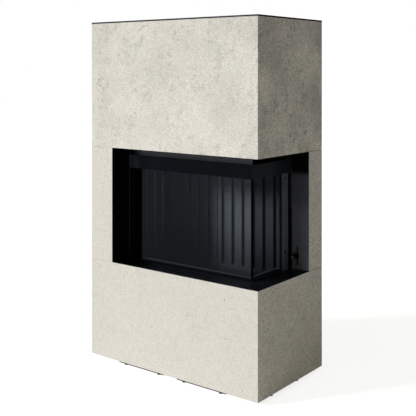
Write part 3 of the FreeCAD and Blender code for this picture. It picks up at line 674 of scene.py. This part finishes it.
def turned(pieceName, base, axis, profile, steps):
    # a lathe: the profile's (radius, height) points in millimetres are spun about an axis through base
    points = [(radius / 1000, height / 1000) for radius, height in profile]
    bpy.ops.object.select_all(action="DESELECT")
    bpy.ops.mesh.primitive_plane_add(size=0.01)
    piece = bpy.context.active_object
    piece.name = pieceName
    bpy.ops.object.mode_set(mode="EDIT")
    bpy.ops.mesh.select_mode(type="VERT")
    bpy.ops.mesh.select_all(action="SELECT")
    bpy.ops.mesh.merge(type="CENTER")
    bpy.ops.transform.translate(value=(points[0][0], 0, points[0][1]))
    for (radius, height), (nextRadius, nextHeight) in zip(points, points[1:]):
        step = (nextRadius - radius, 0, nextHeight - height)
        bpy.ops.mesh.extrude_vertices_move(TRANSFORM_OT_translate={"value": step})
    bpy.ops.mesh.select_all(action="SELECT")
    bpy.ops.mesh.spin(steps=steps, angle=math.tau, center=(0, 0, 0), axis=(0, 0, 1))
    closeUp()
    piece.rotation_euler = Vector(axis).to_track_quat("Z", "Y").to_euler()
    piece.location = base
    bpy.ops.object.transform_apply(location=True, rotation=True, scale=True)
    bpy.ops.object.shade_smooth_by_angle(angle=math.radians(meshSet["latheCrease"]))
    return piece


def copiesOf(piece, moves):
    # the piece and its moved copies, joined to one
    group = [piece]
    for move in moves:
        copy = bpy.data.objects.new(piece.name, piece.data.copy())
        scene.collection.objects.link(copy)
        only(copy)
        copy.location = move
        bpy.ops.object.transform_apply(location=True, rotation=True, scale=True)
        group.append(copy)
    only(piece)
    for copy in group:
        copy.select_set(True)
    bpy.ops.object.join()
    return piece


def settle(piece, body, slot, finish, *replaced):
    # gives the piece its finish and body, and hides the solids that it stands for
    if not piece.data.materials:
        piece.data.materials.append(finishes[finish])
    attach(piece, body)
    if replaced:
        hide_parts(*replaced)


# Pieces that keep the solid's form and get eased edges. An accent is a second finish on the faces that pass its test,
# and a border is an axis and a place where a line of edges parts the faces.
# least part of a face's normal along an axis: of a flat face, of one with its eased edges, and of two slopes
squareOn, easedOn, rimSlope, fluteSlope = 0.97, 0.90, 0.60, 0.50
# places of the strip's fold along Y, the channel's line along Z and, along X, the border of the black print that
# stands for shade on the pane's left end
stripFold, channelLine, shadePrintLine = 0.1435, 0.5727, -0.304
easedPieces = {
    "stone": {"body": "root", "slot": "stone_cladding", "finish": "stone", "edge": 0.0008, "pieces": {
        "front_upper_slab": "frontUpperStone", "left_upper_slab": "leftUpperStone"}},
    "calmStone": {"body": "root", "slot": "stone_cladding", "finish": "calmStone", "edge": 0.0008, "pieces": {
        "front_strip_slab": "frontStripStone", "front_lower_slab": "frontLowerStone",
        "left_middle_slab": "leftMiddleStone", "left_lower_slab": "leftLowerStone"}},
    # the right-side slabs in this and the next group get the painted-light copies of the stone
    "shadedSideStone": {"body": "root", "slot": "stone_cladding", "finish": "shadedSideStone", "edge": 0.0008, "pieces": {
        "right_upper_slab": "rightUpperStone"}},
    "calmShadedSideStone": {"body": "root", "slot": "stone_cladding", "finish": "calmShadedSideStone", "edge": 0.0008, "pieces": {
        "right_strip_slab": "rightStripStone", "right_lower_slab": "rightLowerStone"}},
    # the top cover's right faces get painted shade
    "cover": {"body": "root", "slot": "black_steel", "finish": "coverBlack", "edge": 0.0006, "pieces": {
        "top_cover": "topCover"}, "accents": [("shadeBlack", lambda face: face.normal.x > easedOn)]},
    "recess": {"body": "root", "slot": "black_steel", "finish": "recessBlack", "edge": 0.0006, "pieces": {
        "recess_left_reveal": "leftReveal", "recess_soffit": "soffit"}},
    # the header's right faces get the painted-light side finish
    "header": {"body": "root", "slot": "black_steel", "finish": "headerBlack", "edge": 0.0007, "pieces": {
        "header": "headerChannel"}, "accents": [("litHeaderSide", lambda face: face.normal.x > squareOn)]},
    # the cheek's front face gets the painted highlight
    "cheek": {"body": "root", "slot": "black_steel", "finish": "recessBlack", "edge": 0.0007, "pieces": {
        "left_cheek": "leftCheek"}, "accents": [("cheekHighlight", lambda face: face.normal.y < -squareOn)]},
    "panel": {"body": "root", "slot": "black_steel", "finish": "panelBlack", "edge": 0.0005, "pieces": {
        "recess_rear_reveal": "rearReveal"}},
    # the guide cover's fold and front edge get painted shade
    "strip": {"body": "root", "slot": "black_steel", "finish": "stripGrey", "edge": 0.0006, "pieces": {
        "rear_guide_cover": "guideCover"},
        "accents": [("shadeBlack", lambda face: face.center.y > stripFold or face.normal.y < -squareOn)]},
    "sill": {"body": "root", "slot": "gloss_sill", "finish": "sillGloss", "edge": 0.0006, "pieces": {
        "recess_sill": "sillSheet"}},
    "lining": {"body": "root", "slot": "lining", "finish": "lining", "edge": 0.0016, "pieces": {
        "back_lining_left": "backLiningLeft", "hearth_floor": "hearthFloor", "baffle": "baffleBoard"}},
    # the left lining's front-turned flute faces get the painted highlight
    "liningLeft": {"body": "root", "slot": "lining", "finish": "lining", "edge": 0.0016, "pieces": {
        "left_lining": "leftLining"}, "accents": [("litFluteFaces", lambda face: face.normal.y < -fluteSlope)]},
    # the right back board takes the painted-light copy of the lining
    "litLiningRight": {"body": "root", "slot": "lining", "finish": "litLiningRight", "edge": 0.0016, "pieces": {
        "back_lining_right": "backLiningRight"}},
    "weightLeft": {"body": "left_weight", "slot": "weight_steel", "finish": "ballast", "edge": 0.0015, "pieces": {
        "left_counterweight": "leftWeight"}},
    "weightRight": {"body": "right_weight", "slot": "weight_steel", "finish": "ballast", "edge": 0.0015, "pieces": {
        "right_counterweight": "rightWeight"}},
    "shoes": {"body": "door", "slot": "brass_shoe", "finish": "brass", "edge": 0.001, "pieces": {
        "guide_shoes": "guideShoes"}},
    # the rim's upward faces get the painted highlight
    "rim": {"body": "root", "slot": "hot_steel", "finish": "hearthRim", "edge": 0.0008, "pieces": {
        "hearth_frame": "hearthRim"}, "accents": [("rimTopHighlight", lambda face: face.normal.z > rimSlope)]},
    # the door top rail's right faces get painted shade
    "doorTop": {"body": "door", "slot": "black_steel", "finish": "doorGrey", "edge": 0.0006, "pieces": {
        "door_top_rail": "doorTopRail"}, "accents": [("shadeBlack", lambda face: face.normal.x > squareOn)]},
    "doorFrame": {"body": "door", "slot": "black_steel", "finish": "doorBlack", "edge": 0.0006, "pieces": {
        "door_left_stile": "doorLeftStile"}},
    "channel": {"body": "door", "slot": "black_steel", "finish": "doorBlack", "edge": 0.0006, "pieces": {
        "door_bottom_channel": "doorChannel"}, "border": (2, channelLine),
        "accents": [("channelFront", lambda face: face.center.z > channelLine and face.normal.y < -easedOn),
                    ("channelSide", lambda face: face.center.z > channelLine and face.normal.x > easedOn)]},
    "rearStile": {"body": "door", "slot": "black_steel", "finish": "doorBlack", "edge": 0.0006, "pieces": {
        "door_rear_stile": "doorRearStile"}, "accents": [("stileGrey", lambda face: face.normal.y < -squareOn)]},
    # the front pane's left end gets the black print that stands for shade
    "frontPane": {"body": "door", "slot": "door_glass", "finish": "frontPane", "edge": 0.0005, "pieces": {
        "front_glass": "frontPane"}, "border": (0, shadePrintLine),
        "accents": [("paneShadePrint", lambda face: face.center.x < shadePrintLine and abs(face.normal.y) > squareOn)]},
    "sidePane": {"body": "door", "slot": "door_glass", "finish": "sidePane", "edge": 0.0005, "pieces": {
        "side_glass": "sidePane"}},
    "seal": {"body": "door", "slot": "seal", "finish": "seal", "edge": 0.0005, "pieces": {
        "corner_seal": "cornerSeal"}},
}
# Ends that are moved before the edges are eased: axis, place along it, move
pulledEnds = {
    "backLiningLeft": [(0, -0.024, (-0.0022, 0, 0))],
    "backLiningRight": [(0, -0.024, (0.0022, 0, 0))],
    "guideCover": [(1, 0.165, (0.0085, 0, 0))],
    "rightStripStone": [(2, 0.5656, (0, 0, 0.0014)), (2, 1.2094, (0, 0, -0.0014))],
}
for group in easedPieces.values():
    for nodeName, pieceName in group["pieces"].items():
        piece = mergedCopy(nodeName, pieceName)
        for end in pulledEnds.get(pieceName, ()):
            pullEnd(piece, *end)
        if "border" in group:
            splitAt(piece, *group["border"])
        easeEdges(piece, group["edge"])
        piece.data.materials.append(finishes[group["finish"]])
        for accent in group.get("accents", ()):
            paintFaces(piece, *accent)
        settle(piece, group["body"], group["slot"], group["finish"], nodeName)
print("eased pieces made")


# Air knob: turned black grip on a neck and a rose, with a bright disc let into its end
knobSet = {
    "base": (0.503, 0.121, 0.641),
    "axis": (0, 1, 0),
    "steps": 64,
    "grip": [(0, 1.0), (9.8, 1.0), (10.0, 0.2), (10.4, 0), (11.5, 0), (12.2, 0.5), (12.5, 1.4), (12.5, 6.6),
             (12.0, 7.2), (12.0, 8.2), (12.5, 8.8), (12.5, 30.4), (12.1, 31.4), (11.0, 32.0), (8.6, 32.4),
             (7.4, 33.2), (7.0, 34.4), (7.0, 36.6), (15.4, 37.2), (16.6, 38.0), (16.6, 41.0), (16.0, 42.0),
             (0, 42.0)],
    "disc": [(0, 0.1), (8.4, 0.25), (9.3, 0.5), (9.6, 0.95), (9.6, 1.0), (0, 1.0)],
}
knobGrip = turned("knobGrip", knobSet["base"], knobSet["axis"], knobSet["grip"], knobSet["steps"])
settle(knobGrip, "air_control", "knob", "knobBlack", "air_knob")
knobDisc = turned("knobDisc", knobSet["base"], knobSet["axis"], knobSet["disc"], knobSet["steps"])
settle(knobDisc, "air_control", "bright_steel", "knobEnd")
print("air knob made")


# Screws of the guide cover: blackened button heads with a socket
screwSet = {
    "base": (0.4656, 0.111, 0.665),
    "axis": (-1, 0, 0),
    "rise": 0.399,
    "steps": 32,
    "profile": [(0, 1.1), (2.8, 1.1), (2.9, 0.05), (3.6, 0), (5.0, 0.25), (5.8, 0.8), (6.0, 1.6), (2.0, 1.6),
                (2.0, 3.6), (0, 3.6)],
}
coverScrews = turned("coverScrews", screwSet["base"], screwSet["axis"], screwSet["profile"], screwSet["steps"])
coverScrews = copiesOf(coverScrews, [(0, 0, screwSet["rise"])])
settle(coverScrews, "root", "bright_steel", "screwBlack", "cover_screws")
print("cover screws made")


# Levelling feet: moulded pads on threaded studs
footSet = {
    "pad": [(0, 0.4), (7.5, 0.4), (8.2, 0), (9.8, 0), (10.7, 0.5), (11, 1.4), (11, 4.6), (10.4, 5.6), (7.4, 6.6),
            (6.8, 7.0)],
    "studRadius": 5.0,
    "rootRadius": 4.45,
    "tipRadius": 4.0,
    "studFoot": 7.0,
    "studTop": 20.0,
    "pitch": 1.25,
    "threads": 10,
    "steps": 24,
    "places": [(x, y) for y in (-0.285, 0.285) for x in (-0.3285, -0.0875, 0.0875, 0.3285)]
              + [(x, y) for x in (-0.545, 0.545) for y in (-0.155, 0.094)],
}


def addFeet():
    crest, root, pitch = footSet["studRadius"], footSet["rootRadius"], footSet["pitch"]
    profile = footSet["pad"] + [(root, footSet["studFoot"])]
    for number in range(footSet["threads"]):
        low = footSet["studFoot"] + number * pitch
        profile += [(crest, low + pitch / 2), (root, low + pitch)]
    profile += [(footSet["tipRadius"], footSet["studTop"]), (0, footSet["studTop"])]
    first, *others = footSet["places"]
    foot = turned("levellingFeet", (*first, 0), (0, 0, 1), profile, footSet["steps"])
    foot = copiesOf(foot, [(x - first[0], y - first[1], 0) for x, y in others])
    settle(foot, "root", "bright_steel", "footBlack", "levelling_feet")


addFeet()
print("levelling feet made")


# Rear sheet with countersunk screws, and the rolled end of the air intake
rearSet = {
    "face": 0.315,
    "side": 0.545,
    "levels": (0.045, 0.405, 0.765, 1.165, 1.525, 1.887),
    "rows": (0.045, 1.887),
    "middles": (-0.27, 0.0, 0.27),
    "axis": (0, -1, 0),
    "screwSteps": 24,
    "collarSteps": 72,
    "crease": 25,
    "sink": [(0, -0.2), (4.6, -0.2), (4.6, 0), (2.4, 2.3), (0, 2.3)],
    "screw": [(0, 0.9), (1.5, 0.9), (1.7, 0.25), (2.1, 0.1), (4.2, 0.1), (4.35, 0.2), (2.3, 2.1), (0, 2.1)],
    "collarCentre": (0.420, 0.315, 0.410),
    "collar": [(62.7, 0.25), (63.1, 0.05), (63.5, 0), (63.9, 0.05), (64.3, 0.25), (64.5, 0.8), (64.5, 30),
               (64.2, 31), (64.2, 33), (64.5, 34), (64.5, 55), (62.5, 55), (62.5, 0.8), (62.7, 0.25)],
}


def addRear():
    places = [(x, z) for z in rearSet["levels"] for x in (-rearSet["side"], rearSet["side"])]
    places += [(x, z) for z in rearSet["rows"] for x in rearSet["middles"]]
    firstX, firstZ = places[0]
    base = (firstX, rearSet["face"], firstZ)
    moves = [(x - firstX, 0, z - firstZ) for x, z in places[1:]]
    axis, steps = rearSet["axis"], rearSet["screwSteps"]
    sinks = copiesOf(turned("sinks", base, axis, rearSet["sink"], steps), moves)
    sheet = mergedCopy("rear_cover", "rearSheet")
    only(sheet)
    cut = sheet.modifiers.new("sinks", "BOOLEAN")
    cut.operation = "DIFFERENCE"
    cut.object = sinks
    bpy.ops.object.modifier_apply(modifier=cut.name)
    bpy.data.objects.remove(sinks)
    bpy.ops.object.shade_smooth_by_angle(angle=math.radians(rearSet["crease"]))
    settle(sheet, "root", "galvanised", "zinc", "rear_cover")
    screws = copiesOf(turned("rearScrews", base, axis, rearSet["screw"], steps), moves)
    settle(screws, "root", "bright_steel", "bright")
    collar = turned("intakeCollar", rearSet["collarCentre"], axis, rearSet["collar"], rearSet["collarSteps"])
    settle(collar, "root", "galvanised", "zinc", "air_intake_collar")


addRear()
print("rear sheet made")


# Cables: twisted strands that run from the pulleys to the door and to the weights, with crimped sleeves
cableSet = {
    "radius": 0.0015,
    "strands": 6,
    "groove": 0.76,
    "lay": 0.016,
    "steps": 10,
    "crease": 50,
    "top": 1.780,
    "doorFoot": 1.2243,
    "weightFoot": 1.7123,
    "runs": {
        "leftDoorCable": (-0.375, -0.182, "doorFoot", "door", "door_cables"),
        "rightDoorCable": (0.450, 0.085, "doorFoot", "door", "door_cables"),
        "leftWeightCable": (-0.375, 0.225, "weightFoot", "left_weight", "weight_cables"),
        "rightWeightCable": (0.450, 0.225, "weightFoot", "right_weight", "weight_cables"),
    },
    "sleeve": [(0, 0), (2.6, 0), (3.0, 0.5), (3.0, 4.5), (2.6, 5.2), (2.6, 6.2), (3.0, 6.9), (3.0, 11.0),
               (2.5, 12.0), (1.6, 12.4), (0, 12.4)],
    "sleeveDrop": 0.0004,
    "sleeveSteps": 24,
}


def strandedCable(pieceName, x, y, foot):
    length = cableSet["top"] - foot
    turns = round(length / cableSet["lay"])
    bpy.ops.object.select_all(action="DESELECT")
    bpy.ops.mesh.primitive_circle_add(vertices=2 * cableSet["strands"], radius=cableSet["radius"])
    cable = bpy.context.active_object
    cable.name = pieceName
    pick(cable, "VERT", lambda point: point.index % 2 == 1)
    bpy.ops.transform.resize(value=(cableSet["groove"], cableSet["groove"], 1))
    bpy.ops.object.mode_set(mode="OBJECT")
    twist = cable.modifiers.new("twist", "SCREW")
    twist.angle = math.tau
    twist.screw_offset = length / turns
    twist.iterations = turns
    twist.steps = twist.render_steps = cableSet["steps"]
    bpy.ops.object.modifier_apply(modifier=twist.name)
    bpy.ops.object.mode_set(mode="EDIT")
    bpy.ops.mesh.select_all(action="DESELECT")
    bpy.ops.mesh.select_non_manifold()
    bpy.ops.mesh.fill()
    closeUp()
    cable.location = (x, y, foot)
    bpy.ops.object.transform_apply(location=True, rotation=True, scale=True)
    bpy.ops.object.shade_smooth_by_angle(angle=math.radians(cableSet["crease"]))
    return cable


def addCables():
    for name, (x, y, footName, body, nodeName) in cableSet["runs"].items():
        foot = cableSet[footName]
        cable = strandedCable(name, x, y, foot)
        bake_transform(cable)
        settle(cable, "root", "cable", "rope", nodeName)
        base = (x, y, foot - cableSet["sleeveDrop"])
        sleeve = turned(name + "Sleeve", base, (0, 0, 1), cableSet["sleeve"], cableSet["sleeveSteps"])
        settle(sleeve, body, "bright_steel", "screwBlack")


addCables()
print("cables made")


# Solids that stay as they are and get a finish
plainNodes = {
    "primer": ("lower_frame", "upper_frame", "middle_posts", "foot_rails", "insert_stand", "pulley_carriers"),
    "zinc": ("air_box",),
    "recessBlack": ("guide_rails", "air_gate"),
    "heatSteel": ("firebox_shell", "smoke_hood", "flue_collar"),
    "bright": ("pulley_axles", "air_rod"),
    "pulley": ("left_front_pulley", "left_rear_pulley", "right_pulley"),
    "rope": ("top_cables",),
}
for finish, names in plainNodes.items():
    for name in names:
        nodes[name].data.materials.clear()
        nodes[name].data.materials.append(finishes[finish])
print("plain solids finished")
